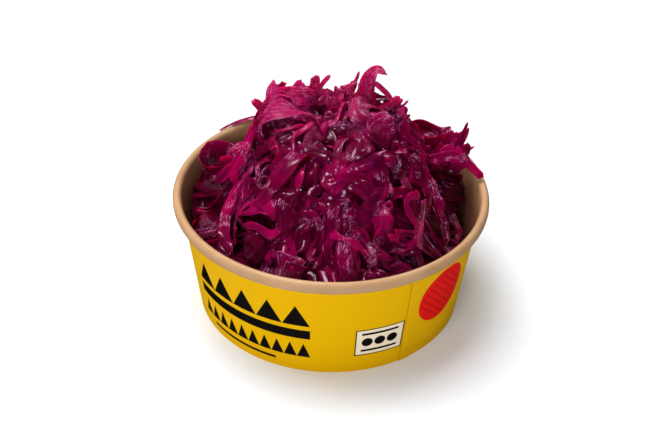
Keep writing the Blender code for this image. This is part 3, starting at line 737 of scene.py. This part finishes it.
def shred_shell(shred):
    """A shred's closed surface, as points, faces and the values that its material reads."""
    grid, half = shred.grid, shred.half
    rows, columns = grid.shape[:2]
    normal = unit(np.cross(np.gradient(grid, axis=0), np.gradient(grid, axis=1)))
    sides = columns_across(columns)
    ends = np.minimum(np.arange(rows), np.arange(rows)[::-1])
    depth = shred.thickness / 2 * (1 - sides**2)[None] ** 0.5 * np.minimum(1, 0.35 + ends / 3)[:, None]
    upper = grid + normal * depth[..., None]
    lower = (grid - normal * depth[..., None])[:, -2:0:-1]
    around = np.concatenate([sides, sides[-2:0:-1]])
    size = len(around)
    faces = tube_faces(rows, list(range(size)))
    faces.append(tuple(range(size))[::-1])
    faces.append(tuple(range((rows - 1) * size, rows * size)))
    run = np.repeat(shred.along, size) + shred.phase
    side = (np.concatenate([half, half[:, -2:0:-1]], 1) * around[None]).ravel()
    values = np.stack([run, side, np.full(len(run), shred.tone)], -1)
    return np.concatenate([upper, lower], 1).reshape(-1, 3), faces, values, np.tile(np.abs(around), rows)


def set_values(mesh, name, values):
    """Stores a number, or three, at each point of a mesh for its material to read."""
    values = np.array(values, np.float32)
    kind, field = ("FLOAT", "value") if values.ndim == 1 else ("FLOAT_VECTOR", "vector")
    mesh.attributes.new(name, kind, "POINT").data.foreach_set(field, values.ravel())


def shred_piece(name, shreds, material):
    """Joins shreds into one piece."""
    shells = [shred_shell(shred) for shred in shreds]
    faces, start = [], 0
    for points, own_faces, _, _ in shells:
        faces += [tuple(start + v for v in face) for face in own_faces]
        start += len(points)
    points, _, lines, edges = zip(*shells)
    mesh = smooth_mesh(name, np.concatenate(points), faces)
    set_values(mesh, "shred", np.concatenate(lines))
    set_values(mesh, "edge", np.concatenate(edges))
    new_piece(name, mesh, material, "cabbage_heap")


def make_heap(materials):
    """The core and every shred over it."""
    verts, faces = core_mesh()
    heap = Heap(verts, faces)
    shreds = laid_shreds(heap)
    waves = np.sin(verts[:, :1] * ROUGH_WAVES[0]) * np.sin(verts[:, 1:2] * ROUGH_WAVES[1])
    inner = verts + (CORE_ROUGHNESS * waves - CORE_INSET) * unit(verts - HEAP_CENTRE)
    inner = np.where(verts[:, 2:] > verts[:, 2].min(), inner, verts)
    core = smooth_mesh("cabbage_core", warp(inner), faces)
    new_piece("cabbage_core", core, materials["core"], "cabbage_heap")
    for shred in shreds:
        shred.grid = keep_off_wall(warp(heap.press(shred.grid)))[0]
    for kind in SHRED_KINDS:
        own = [shred for shred in shreds if shred.kind == kind]
        shred_piece(f"cabbage_{kind}s", own, materials.get(kind, materials["shred"]))
    shred_piece("standing_shreds", standing_shreds(), materials["shred"])


# ---- the bowl


def spun(name, profile):
    """Spins a closed section of (radius, height) about the Z axis."""
    build = bmesh.new()
    verts = [build.verts.new((r, 0, z)) for r, z in profile]
    edges = [build.edges.new(pair) for pair in zip(verts, verts[1:])]
    turn = {"axis": (0, 0, 1), "angle": math.tau, "steps": BOWL_SEGMENTS, "use_merge": True}
    bmesh.ops.spin(build, geom=verts + edges, **turn)
    bmesh.ops.remove_doubles(build, verts=build.verts, dist=1e-6)
    bmesh.ops.recalc_face_normals(build, faces=build.faces)
    mesh = bpy.data.meshes.new(name)
    build.to_mesh(mesh)
    build.free()
    mesh.shade_smooth()
    mesh.set_sharp_from_angle(angle=SHARP_ANGLE)
    return mesh


def lip_point(angle):
    """A point of the lip's oval section, as (radius, height)."""
    half_width, half_height = LIP_WIDTH / 2, LIP_HEIGHT / 2
    return RIM_RADIUS - half_width + half_width * math.cos(angle), LIP_MIDDLE + half_height * math.sin(angle)


def inside_shade(point):
    """How far painted shade, reddened as a painted reflection of the cabbage, darkens the paper at a point:
    inside only, and more further down.
    """
    inner = math.hypot(point.x, point.y) < wall_inside(point.z) + WALL_THICKNESS / 2
    if not inner or point.z < FLOOR_TOP - WALL_THICKNESS:
        return 0.0
    return min(DARKEST_INSIDE_SHADE, max(0.0, (INSIDE_SHADE_TOP - point.z) / INSIDE_SHADE_FADE) ** 0.5)


def make_kraft_bowl(material):
    """The kraft paper: the floor, the wall's inside, the rolled lip and the skirt under the floor."""
    skirt_inside = FOOT_RADIUS - SKIRT_THICKNESS
    top_radius, top_height = lip_point(LIP_START)
    lip = [lip_point(LIP_START + (math.pi - LIP_START) * i / LIP_STEPS) for i in range(LIP_STEPS + 1)]
    heights = [LIP_MIDDLE + (FLOOR_TOP + MM - LIP_MIDDLE) * i / WALL_ROWS for i in range(1, WALL_ROWS + 1)]
    wall = [(wall_inside(z), z) for z in heights]
    profile = [
        (0, FLOOR_UNDERSIDE),
        (skirt_inside, FLOOR_UNDERSIDE),
        (skirt_inside, SKIRT_CHAMFER),
        (skirt_inside + SKIRT_CHAMFER, 0),
        (FOOT_RADIUS - WRAP_THICKNESS, 0),
        (top_radius - WRAP_THICKNESS, top_height - WRAP_TUCK),
        *lip,
        *wall,
        (wall_inside(FLOOR_TOP) - MM, FLOOR_TOP),
        (0, FLOOR_TOP),
    ]
    mesh = spun("kraft_bowl", profile)
    # The painted shade inside the bowl, for the material to read.
    set_values(mesh, "darkening", [inside_shade(v.co) for v in mesh.vertices])
    new_piece("kraft_bowl", mesh, material, "paper_bowl")


def make_wrap(material):
    """The printed wrap, once round the outside, with its first few millimetres lying over its end."""
    top_radius, top_height = lip_point(LIP_START)
    whole = math.tau + SEAM_OVERLAP / 2
    turns = int(BOWL_SEGMENTS * whole / math.tau)
    verts, print_at = [], []
    for i in range(turns + 1):
        turn = whole * i / turns
        angle = SEAM_ANGLE + turn
        over = min(1, max(0, 2 - 2 * turn / SEAM_OVERLAP))
        for j in range(WRAP_ROWS + 1):
            share = j / WRAP_ROWS
            for layer in (0, 1):
                out = over * SEAM_STEP - layer * WRAP_THICKNESS
                r = FOOT_RADIUS + (top_radius - FOOT_RADIUS) * share + out
                verts.append((r * math.cos(angle), r * math.sin(angle), top_height * share))
                print_at.append((math.degrees(turn), top_height * share / MM, 0))
    # Each section goes down its outer side and up its inner side; quads also close the wrap's two ends.
    column = 2 * (WRAP_ROWS + 1)
    last = turns * column
    faces = tube_faces(turns + 1, [*range(column - 2, -1, -2), *range(1, column, 2)])
    for a in range(0, column - 2, 2):
        faces.append((a, a + 2, a + 3, a + 1))
        faces.append((last + a + 1, last + a + 3, last + a + 2, last + a))
    mesh = smooth_mesh("printed_wrap", verts, faces)
    mesh.set_sharp_from_angle(angle=SHARP_ANGLE)
    set_values(mesh, "print_at", print_at)
    new_piece("printed_wrap", mesh, material, "paper_bowl")


# ---- materials


class Value:
    """A node's output. Arithmetic with it adds nodes to its material."""

    def __init__(self, graph, socket):
        self.graph, self.socket = graph, socket

    def __add__(self, other):
        return self.graph.math("ADD", self, other)

    def __sub__(self, other):
        return self.graph.math("SUBTRACT", self, other)

    def __rsub__(self, other):
        return self.graph.math("SUBTRACT", other, self)

    def __mul__(self, other):
        return self.graph.math("MULTIPLY", self, other)

    def __truediv__(self, other):
        return self.graph.math("DIVIDE", self, other)

    def __abs__(self):
        return self.graph.math("ABSOLUTE", self)


class Graph:
    """A material's nodes, added by short calls that take numbers, colours or other nodes' values."""

    def __init__(self, name):
        self.material = bpy.data.materials.new(name)
        self.material.use_nodes = True
        self.tree = self.material.node_tree
        self.shader = self.tree.nodes["Principled BSDF"]

    def feed(self, socket, value):
        if isinstance(value, Value):
            self.tree.links.new(value.socket, socket)
        elif socket.type == "RGBA":
            socket.default_value = (*value, 1)
        else:
            socket.default_value = value

    def set(self, **values):
        for name, value in values.items():
            self.feed(self.shader.inputs[name.replace("_", " ")], value)

    def add(self, kind, inputs, output=0, **settings):
        """Adds a node and returns one of its outputs."""
        node = self.tree.nodes.new(kind)
        for name, value in settings.items():
            setattr(node, name, value)
        for name, value in inputs.items():
            self.feed(node.inputs[name], value)
        return Value(self, node.outputs[output])

    def math(self, operation, *values):
        return self.add("ShaderNodeMath", dict(enumerate(values)), operation=operation)

    def ramp(self, value, low, high, start=0.0, end=1.0):
        """A smooth step of a value from start, at low, to end, at high."""
        inputs = {"Value": value, "From Min": low, "From Max": high, "To Min": start, "To Max": end}
        return self.add("ShaderNodeMapRange", inputs, interpolation_type="SMOOTHSTEP")

    def mix(self, factor, first, second):
        return self.add("ShaderNodeMix", {0: factor, 6: first, 7: second}, 2, data_type="RGBA")

    def attribute(self, name, output):
        return self.add("ShaderNodeAttribute", {}, output, attribute_name=name)

    def split(self, vector):
        node = self.tree.nodes.new("ShaderNodeSeparateXYZ")
        self.feed(node.inputs[0], vector)
        return [Value(self, output) for output in node.outputs]

    def position(self):
        return self.add("ShaderNodeTexCoord", {}, "Object")

    def noise(self, vector, scale, detail=3.0, roughness=0.5):
        """Noise with a scale per metre, or per unit of the vector."""
        inputs = {"Vector": vector, "Scale": scale, "Detail": detail, "Roughness": roughness}
        return self.add("ShaderNodeTexNoise", inputs)

    def bump(self, height, strength, distance):
        return self.add("ShaderNodeBump", {"Height": height, "Strength": strength, "Distance": distance})


# Red cabbage: the colours of its deep, bright and pale parts, the pale one also used for painted glints, and
# how it takes light.
LEAF_COLOURS = ((0.07, 0.0002, 0.014), (0.37, 0.0008, 0.078), (0.75, 0.22, 0.45))
RIB_COLOURS = ((0.14, 0.003, 0.035), (0.42, 0.02, 0.12), (0.8, 0.25, 0.48))
# The core's colours: cabbage painted darker than the shreds, as painted shade in the gaps.
CORE_SHADE_COLOURS = ((0.03, 0.0003, 0.006), (0.16, 0.001, 0.03))
FLESH = {
    "Specular_Tint": (1.0, 0.62, 0.82),
    "Subsurface_Radius": (1.0, 0.08, 0.3),
    "Subsurface_Scale": 3 * MM,
}
# Fibres per metre along and across a shred.
FIBRES = (160, 700)
# Painted light and shade: between each pair of heights, the shreds' brightness is raised by from the one to
# the other of two shares, which paints the top lighter and the lowest parts darker.
PAINTED_LIGHT_BY_HEIGHT = (
    (74 * MM, 84 * MM, -0.12, -0.24),
    (90 * MM, 102 * MM, 0.0, 0.40),
    (50 * MM, 64 * MM, -0.22, 0.04),
)
# The heights between which the heap's top dries, turning rougher and taking more painted sheen as pale
# glints, and how ragged that level is.
DRY_SHEEN_HEIGHTS = (100 * MM, 114 * MM)
DRY_SHEEN_RAGGED = 20 * MM


def shred_material(name, colours, edge_share):
    """Wet red cabbage: see-through at its folds, glistening where it is wrinkled, with painted pale glints
    there as well as bumps, no two shreds alike.
    """
    graph = Graph(name)
    deep, bright, pale = colours
    run, side, tone = graph.split(graph.attribute("shred", "Vector"))
    edge = graph.attribute("edge", "Fac")
    at = graph.position()
    height = graph.split(at)[2]
    along = graph.add("ShaderNodeCombineXYZ", {0: run * FIBRES[0], 1: side * FIBRES[1], 2: tone})
    veins = graph.noise(along, 1.0)
    grain = graph.noise(along, 2.4, 3.0, 0.7)
    skin = graph.noise(at, 1000, 3.0, 0.7)
    dents = graph.noise(at, 300, 2.0)
    patches = graph.noise(at, 110, 2.0)
    dry_and_sheen = graph.ramp(height + patches * DRY_SHEEN_RAGGED, *DRY_SHEEN_HEIGHTS)
    # Painted sheen: towards the top the glints' zones spread, painting the top paler.
    zones = graph.math("MAXIMUM", graph.ramp(graph.noise(at, 90, 2.0), 0.57, 0.63), dry_and_sheen * 0.45)
    # The glints are painted highlights: pale colour in wrinkled zones, over a real wrinkled bump.
    glints = zones * graph.ramp(graph.mix(0.35, grain, skin), 0.50, 0.58)
    # Level from deep to bright: a random tone per shred and per patch, plus painted light and shade by
    # height.
    level = tone * 0.5 + patches * 0.6
    for step in PAINTED_LIGHT_BY_HEIGHT:
        level = level + graph.ramp(height, *step)
    colour = graph.mix(graph.ramp(level, 0.2, 0.95), deep, bright)
    colour = graph.mix(graph.ramp(veins, 0.52, 0.75, 0.0, 0.04), colour, pale)
    colour = graph.mix(graph.ramp(edge, 0.85, 1.0, 0.0, edge_share), colour, pale)
    graph.set(
        # Painted highlights: the glints mix the colour towards pale.
        Base_Color=graph.mix(glints * 0.75, colour, pale),
        Roughness=graph.ramp(dry_and_sheen, 0.0, 1.0, 0.17, 0.28),
        IOR=1.4,
        Specular_IOR_Level=0.45,
        Subsurface_Weight=0.85,
        Coat_Weight=graph.ramp(dry_and_sheen, 0.0, 1.0, 0.3, 0.15),
        Coat_Roughness=0.06,
        Coat_IOR=1.4,
        Normal=graph.bump(veins * 0.1 + glints + dents * 0.25, 0.8, 0.6 * MM),
        **FLESH,
    )
    return graph.material


def core_material():
    """What shows between the shreds: the mass of cabbage, wet, and painted dark as the shade between them."""
    graph = Graph("cabbage_core")
    at = graph.position()
    graph.set(
        Base_Color=graph.mix(graph.ramp(graph.noise(at, 180), 0.35, 0.7), *CORE_SHADE_COLOURS),
        Roughness=0.22,
        Specular_IOR_Level=0.5,
        Subsurface_Weight=0.5,
        Normal=graph.bump(graph.noise(at, 260, 4.0), 1.0, 2 * MM),
        **FLESH,
    )
    return graph.material


KRAFT_COLOURS = ((0.45, 0.25, 0.12), (0.52, 0.30, 0.15))
KRAFT_FIBRE = (0.27, 0.14, 0.08)
KRAFT_SPECK = (0.62, 0.42, 0.28)
# Painted shade inside the bowl, reddened as a painted reflection of the cabbage.
KRAFT_SHADE = (0.15, 0.035, 0.025)
# Drips of juice on the wall's inside: where each one is, and its radius; they are drawn out downwards.
DRIPS = (
    ((0.0703, 0.0065, 0.0562), 1.2 * MM),
    ((0.0705, 0.0035, 0.055), 0.7 * MM),
    ((0.0665, 0.023, 0.056), 0.8 * MM),
)
DRIP_STRETCH = (1.0, 1.0, 0.35)


def kraft_material():
    """Uncoated kraft board: warm brown with fibres and specks, and a faint sheen, darkened inside by painted
    shade and marked with juice drips.
    """
    graph = Graph("kraft_paper")
    at = graph.position()
    fibre = graph.noise(at, 700, 5.0, 0.65)
    colour = graph.mix(graph.ramp(graph.noise(at, 60), 0.3, 0.7), *KRAFT_COLOURS)
    colour = graph.mix(graph.ramp(fibre, 0.55, 0.75, 0.0, 0.35), colour, KRAFT_FIBRE)
    colour = graph.mix(graph.ramp(graph.noise(at, 1500, 2.0), 0.66, 0.74, 0.0, 0.4), colour, KRAFT_SPECK)
    # Painted shade inside, reddened as a painted reflection, with the real juice drips added in.
    darkening = graph.attribute("darkening", "Fac")
    for place, radius in DRIPS:
        away = graph.add("ShaderNodeVectorMath", {0: at, 1: place}, operation="SUBTRACT")
        away = graph.add("ShaderNodeVectorMath", {0: away, 1: DRIP_STRETCH}, operation="MULTIPLY")
        away = graph.add("ShaderNodeVectorMath", {0: away}, "Value", operation="LENGTH")
        darkening = graph.math("MAXIMUM", darkening, graph.ramp(away, radius, radius / 2, 0.0, 0.8))
    graph.set(
        Base_Color=graph.mix(darkening, colour, KRAFT_SHADE),
        Roughness=graph.ramp(fibre, 0.3, 0.7, 0.42, 0.6),
        Coat_Weight=0.25,
        Coat_Roughness=0.3,
        Normal=graph.bump(fibre, 0.25, 0.2 * MM),
    )
    return graph.material


# The print, drawn in mm round the wrap at this radius, and up from its foot. Its edges are this soft.
PRINT_RADIUS = 68
PRINT_EDGE = 0.12
YELLOW = (0.70, 0.385, 0.0)
BLACK = (0.006, 0.005, 0.004)
RED = (0.74, 0.008, 0.005)
DARK_RED = (0.12, 0.0, 0.0)
SEAM_BROWN = (0.30, 0.14, 0.01)
CREAM = (0.80, 0.68, 0.50)
# The diamonds' grid starts this far off, in mm.
GRID_OFFSET = 1000
# Which way the print's frieze, disc and label face, in degrees.
FRIEZE_TURN, DISC_TURN, LABEL_TURN = -124, -40, -69


def wrap_material():
    """Yellow printed paper with plain shapes: a black frieze, a cream label and a red disc."""
    graph = Graph("printed_paper")
    turn, rise, _ = graph.split(graph.attribute("print_at", "Vector"))
    x = turn * (math.radians(1) * PRINT_RADIUS)

    def inside(distance):
        return graph.ramp(distance, PRINT_EDGE, -PRINT_EDGE)

    def box(centre_x, centre_y, half_x, half_y):
        return inside(graph.math("MAXIMUM", abs(x - centre_x) - half_x, abs(rise - centre_y) - half_y))

    def disc(centre_x, centre_y, radius):
        dx, dy = x - centre_x, rise - centre_y
        return inside(graph.math("SQRT", dx * dx + dy * dy) - radius)

    def triangles(centre_x, base_y, pitch, height, count):
        """A row of triangles that point up."""
        share = graph.math("FRACT", (x - (centre_x - pitch * count / 2)) / pitch)
        under = rise - base_y - (1.0 - abs(share * 2.0 - 1.0)) * height
        return inside(under) * box(centre_x, base_y + height / 2, pitch * count / 2, height / 2)

    def diamonds(centre_x, centre_y, pitch, size):
        """A field of small diamonds, on a grid turned by an eighth."""
        dx, dy = x - centre_x, rise - centre_y
        shares = [graph.math("FRACT", (part + GRID_OFFSET) / pitch) for part in (dx + dy, dx - dy)]
        across, up = (abs(share - 0.5) * pitch for share in shares)
        return inside(graph.math("MAXIMUM", across, up) - size)

    def at_turn(degrees):
        """Distance round the wrap from its edge to a compass angle."""
        return math.radians((degrees - math.degrees(SEAM_ANGLE)) % 360) * PRINT_RADIUS

    frieze, red, label = at_turn(FRIEZE_TURN), at_turn(DISC_TURN), at_turn(LABEL_TURN)
    colour = YELLOW
    for mask, ink in (
        (box(0, 30, 0.3, 60) * 0.35, SEAM_BROWN),
        (triangles(frieze, 30, 13, 12.5, 5), BLACK),
        (box(frieze, 24.5, 32.5, 2.8), BLACK),
        (triangles(frieze, 9.5, 6.5, 9, 10), BLACK),
        (box(frieze - 5, 5.5, 20, 0.8), BLACK),
        (disc(red, 33, 15.5), RED),
        (diamonds(red, 33, 4.2, 0.75) * disc(red, 33, 13.5) * 0.8, DARK_RED),
        (box(label, 19, 12.0, 8.5), BLACK),
        (box(label, 19, 11.4, 7.9), CREAM),
        *((box(label, height, 9.0, 0.7), BLACK) for height in (24.4, 13.6)),
        *((disc(label + step, 19, 2.7), BLACK) for step in (-6.2, 0, 6.2)),
    ):
        colour = graph.mix(mask, colour, ink)
    at = graph.position()
    graph.set(
        Base_Color=colour,
        Roughness=graph.ramp(graph.noise(at, 500, 4.0), 0.3, 0.7, 0.4, 0.5),
        Specular_IOR_Level=0.02,
        Normal=graph.bump(graph.noise(at, 90), 0.15, 0.4 * MM),
    )
    return graph.material


def floor_material():
    graph = Graph("pale_floor")
    graph.set(Base_Color=graph.mix(graph.noise(graph.position(), 30), *FLOOR_COLOURS), Roughness=0.8)
    return graph.material


# ---- stage and camera

FLOOR_SIZE = 8
FLOOR_COLOURS = ((0.86, 0.90, 0.95), (0.88, 0.92, 0.97))
SKY_STRENGTH = 0.27
# Each lamp's place, size and power, and whether it gives shading and highlights.
LAMPS = {
    "overhead": ((-0.23, 0.17, 0.9), (0.7, 0.7), 11.4, True, False),
    "front": ((-0.3, -1.0, 0.55), (0.8, 0.4), 6.6, True, False),
    "key": ((-0.28, -0.08, 0.86), (0.21, 0.21), 2.4, False, True),
    "glint": ((0.25, 0.35, 0.8), (0.17, 0.17), 1.5, False, True),
}


def make_stage():
    bpy.ops.mesh.primitive_plane_add(size=FLOOR_SIZE)
    floor = bpy.context.object
    floor.name = "floor"
    floor.data.materials.append(floor_material())
    floor.visible_glossy = False
    world = bpy.data.worlds.new("studio")
    world.use_nodes = True
    background = world.node_tree.nodes["Background"]
    background.inputs["Color"].default_value = (1, 1, 1, 1)
    background.inputs["Strength"].default_value = SKY_STRENGTH
    world.cycles_visibility.glossy = False
    bpy.context.scene.world = world


def area_light(name, place, size, power, shades, mirrored):
    """A lamp that faces the bowl's middle, and gives it shading, highlights or both."""
    light = bpy.data.lights.new(name, "AREA")
    light.shape = "RECTANGLE"
    light.size, light.size_y = size
    light.energy = power
    lamp = bpy.data.objects.new(name, light)
    lamp.location = place
    lamp.rotation_euler = (Vector((0, 0, AIM_HEIGHT)) - Vector(place)).to_track_quat("-Z", "Y").to_euler()
    lamp.visible_diffuse = shades
    lamp.visible_glossy = mirrored
    bpy.context.scene.collection.objects.link(lamp)


def make_camera():
    camera = bpy.data.cameras.new("camera")
    camera.sensor_width = SENSOR_WIDTH
    camera.lens = FOCAL_PIXELS / FRAME_WIDTH * SENSOR_WIDTH
    camera.shift_y = CENTRE_DROP_PIXELS / FRAME_WIDTH
    holder = bpy.data.objects.new("camera", camera)
    aim = Vector((0, 0, AIM_HEIGHT))
    back, rise = CAMERA_DISTANCE * math.cos(CAMERA_DROP), CAMERA_DISTANCE * math.sin(CAMERA_DROP)
    place = aim + Vector((0, -back, rise))
    turned = (aim - place).to_track_quat("-Z", "Y").to_matrix().to_4x4()
    holder.matrix_world = Matrix.Translation(place) @ turned @ Matrix.Rotation(CAMERA_ROLL, 4, "Z")
    bpy.context.scene.collection.objects.link(holder)
    bpy.context.scene.camera = holder


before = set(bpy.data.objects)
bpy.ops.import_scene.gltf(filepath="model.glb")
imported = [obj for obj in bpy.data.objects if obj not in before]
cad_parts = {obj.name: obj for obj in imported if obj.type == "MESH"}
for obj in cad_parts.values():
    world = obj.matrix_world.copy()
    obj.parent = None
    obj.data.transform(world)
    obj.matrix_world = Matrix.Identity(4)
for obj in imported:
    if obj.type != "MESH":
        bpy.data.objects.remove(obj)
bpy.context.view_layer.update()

make_camera()
make_stage()
for name, settings in LAMPS.items():
    area_light(name, *settings)
bpy.context.scene.view_settings.view_transform = "Standard"

make_kraft_bowl(kraft_material())
make_wrap(wrap_material())
make_heap({
    "core": core_material(),
    "shred": shred_material("red_cabbage", LEAF_COLOURS, 0.0),
    "rib": shred_material("cabbage_rib", RIB_COLOURS, 0.3),
})
